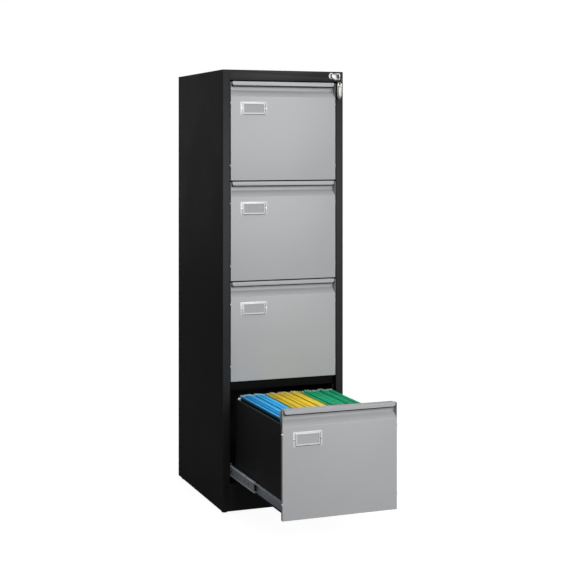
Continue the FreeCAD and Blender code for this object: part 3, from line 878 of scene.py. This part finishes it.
def ball_retainers(drawer, body):
    """The black moulding that keeps the balls in the front end of the middle member."""
    low, high, level = slide_level(drawer)
    mouth = block("mouth", (high.x - 7.2 * MM, low.y + 0.6 * MM, level - 11 * MM),
                  (high.x - 1.2 * MM, low.y + 7 * MM, level + 11 * MM))
    pick(mouth, "FACE", lambda centre, normal: normal.y < -0.9)
    bpy.ops.mesh.inset(thickness=1.4 * MM)
    extrude((0, 3 * MM, 0))
    object_mode()
    bevel(mouth, 0.5 * MM, 3, 40)
    smooth(mouth)
    finish_piece(mirrored_pair(drawer_node(drawer, "ball_retainers"), mouth), body, "black_plastic")


def build_slides():
    outer_rails()
    for drawer in DRAWERS:
        body = "drawer_" + str(drawer) + "_middle_slides"
        middle_rails(drawer, body)
        inner_rails(drawer)
        ball_retainers(drawer, body)
        slide_trim(drawer, body)


# ---------------------------------------------------------------- folders

def one_folder(left, right, start, end, low, high):
    """A card folded in a V, with a hem along each top edge."""
    foot = (left + right) / 2
    points = [(left + HEM_ROLL, high - HEM), (left + HEM_ROLL, high), (left, high), (left, high - HEM),
              (foot - HEM_ROLL, low), (foot + HEM_ROLL, low),
              (right, high - HEM), (right, high), (right - HEM_ROLL, high), (right - HEM_ROLL, high - HEM)]
    folder = folded("folder", points, start, end, 0, HEM_ROLL * 0.35, "Y", (0, 0, 1))
    use_modifier(folder, "SOLIDIFY", thickness=0.45 * MM, offset=0.0)
    smooth(folder)
    return folder


def hanger_hook(x, y, side, top):
    """The moulded end of a hanger bar, hooked over the file rail."""
    hook = block("hook", (x - 1.1 * MM, y - 3 * MM, top - 6 * MM), (x + 1.1 * MM, y + 3 * MM, top))
    pick(hook, "FACE", lambda centre, normal: normal.y * side > 0.9)
    extrude((0, side * 4 * MM, 1.5 * MM))
    bpy.ops.transform.resize(value=(0.9, 1, 0.6))
    extrude((0, side * 3.5 * MM, -0.5 * MM))
    object_mode()
    bevel(hook, 0.5 * MM, 2, 40)
    smooth(hook)
    return hook


def build_folders():
    body = "drawer_" + str(OPEN_DRAWER)
    hooks = []
    for colour, count in FOLDER_COUNTS.items():
        low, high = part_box(colour + "_folders")
        pitch = (high.x - low.x) / count
        folders = []
        for index in range(count):
            left = low.x + pitch * (index + 0.16)
            right = low.x + pitch * (index + 0.82)
            lift = 1.6 * MM * math.sin(index * 2.3 + len(colour))
            shift = 1.5 * MM * math.cos(index * 1.7)
            folders.append(one_folder(left, right, low.y + shift, high.y + shift,
                                      low.z + 8 * MM, high.z + lift))
            for x in (left + 0.8 * MM, right - 0.8 * MM):
                for side, y in ((-1, low.y), (1, high.y)):
                    hooks.append(hanger_hook(x, y + shift, side, high.z + lift + 1.5 * MM))
        group = joined(colour + "_hanging_folders", folders)
        finish_piece(group, body, colour + "_card", None, [colour + "_folders"])
    finish_piece(joined("hanger_hooks", hooks), body, "zinc_plate", "white_plastic")


# ---------------------------------------------------------------- lock and keys

def split_ring():
    """Two close turns of spring wire through the slot of the key's bow."""
    low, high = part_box("key_ring")
    centre = (low + high) / 2
    radius = (high.z - low.z) / 2 - RING_WIRE
    facing = Vector((math.cos(RING_TURN), math.sin(RING_TURN), 0))
    turns = []
    for side in (-1, 1):
        object_mode()
        bpy.ops.object.select_all(action="DESELECT")
        bpy.ops.mesh.primitive_torus_add(major_radius=radius, minor_radius=RING_WIRE * 0.52,
                                         major_segments=72, minor_segments=12,
                                         location=centre + facing * side * RING_WIRE * 0.5,
                                         rotation=(0, math.pi / 2, RING_TURN))
        turns.append(named("turn"))
    ring = joined("split_ring", turns)
    smooth(ring, 60)
    finish_piece(ring, "hanging_keys", "key_steel", None, ["key_ring"])


def build_refined():
    """CAD nodes whose shape is right, with their sheet edges eased."""
    plain = {
        "left_side_panel": ("carcass", 0.15), "right_side_panel": ("carcass", 0.15),
        "top_panel": ("carcass", 0.3), "back_panel": ("carcass", 0.0), "lock_fascia": ("carcass", 0.25),
        "base_pan": ("carcass", 0.2), "plinth": ("carcass", 0.25), "cross_rails": ("carcass", 0.2),
        "slide_uprights": ("carcass", 0.2), "levelling_feet": ("carcass", 0.3),
        "lock_barrel": ("carcass", 0.2), "lock_nut": ("carcass", 0.3), "lock_bar_guides": ("carcass", 0.4),
        "lock_plug": ("lock_core", 0.15), "lock_cam": ("lock_core", 0.3), "key_in_lock": ("lock_core", 0.3),
        "spare_key": ("hanging_keys", 0.3), "lock_bar": ("lock_bar", 0.3),
    }
    for drawer in DRAWERS:
        for part, width in (("tray", 0.2), ("file_rails", 0.3), ("lock_catch", 0.2)):
            plain[drawer_node(drawer, part)] = ("drawer_" + str(drawer), width)
    # The cross rails take the darker paint as painted shade inside the case.
    finishes = {"cross_rails": "interior_painted_shade", "lock_barrel": "key_steel", "lock_plug": "key_steel"}
    slots = {entry["node"]: entry["material_slot"] for entry in frame["record"]["subparts"]}
    for name, (body, width) in plain.items():
        piece = refined(name, width * MM)
        material = finishes.get(name, "tray_paint" if name.endswith("_tray") else slots[name])
        finish_piece(piece, body, slots[name], material, [name])


# ---------------------------------------------------------------- stage

def camera_only(tree, seen, unseen=0.0):
    """One value for what the camera looks at directly, another for every other ray."""
    path = tree.nodes.new("ShaderNodeLightPath")
    return ramp(tree, path.outputs["Is Camera Ray"], 0.0, 1.0, unseen, seen)


def build_stage():
    bpy.ops.object.select_all(action="DESELECT")
    bpy.ops.mesh.primitive_plane_add(size=30, location=(0, 0, 0))
    floor = named("floor")
    made, tree, shader, coords = new_material("pale_floor", Roughness=0.7, Specular_IOR_Level=0.1)
    grain = placed(tree, GRAIN, coords, Pebble_Scale=200.0)
    tone = mixed(tree, grain["Cloud"], (0.22, 0.22, 0.22, 1), (0.24, 0.24, 0.24, 1))
    tree.links.new(tone, shader.inputs["Base Color"])
    shader.inputs["Emission Color"].default_value = (1, 1, 1, 1)
    tree.links.new(camera_only(tree, 0.95), shader.inputs["Emission Strength"])
    floor.data.materials.append(made)


def add_light(name, place, target, size, power):
    lamp = bpy.data.lights.new(name, "AREA")
    lamp.shape = "RECTANGLE"
    lamp.size, lamp.size_y = size
    lamp.energy = power
    obj = bpy.data.objects.new(name, lamp)
    bpy.context.scene.collection.objects.link(obj)
    obj.location = place
    obj.rotation_euler = (Vector(target) - Vector(place)).to_track_quat("-Z", "Y").to_euler()
    return lamp


def build_light():
    world = bpy.data.worlds.new("studio")
    bpy.context.scene.world = world
    world.use_nodes = True
    tree = world.node_tree
    sky = tree.nodes["Background"]
    sky.inputs["Color"].default_value = (1, 1, 1, 1)
    tree.links.new(camera_only(tree, 1.0, WORLD_LIGHT), sky.inputs["Strength"])
    add_light("key", (0.9, -4.2, 1.5), (0, 0, 0.6), (2.6, 2.2), KEY_POWER)
    add_light("fill", (-3.4, -2.6, 2.0), (0, 0, 0.8), (1.6, 2.4), FILL_POWER)
    drawer_lamp = add_light("drawer", (0.0, -0.30, 2.8), (0, -0.25, 0.27), (0.3, 0.3), DRAWER_POWER)
    drawer_lamp.spread = math.radians(12)
    add_light("top", (0.0, -1.3, 3.2), (0, -0.6, 0.2), (2.0, 1.6), TOP_POWER)
    bpy.context.scene.view_settings.view_transform = "Standard"


def build_camera():
    lens = bpy.data.cameras.new("camera")
    camera = bpy.data.objects.new("camera", lens)
    bpy.context.scene.collection.objects.link(camera)
    camera.location = (-CAMERA_LEFT, -CAMERA_BACK, CAMERA_UP)
    camera.rotation_euler = (math.pi / 2, 0, -math.radians(CAMERA_YAW))
    lens.sensor_width = 36
    lens.lens = CAMERA_LENS
    lens.shift_y = CAMERA_SHIFT
    bpy.context.scene.camera = camera


build_camera()
build_light()
build_stage()
build_fronts()
build_slides()
build_folders()
split_ring()
build_refined()
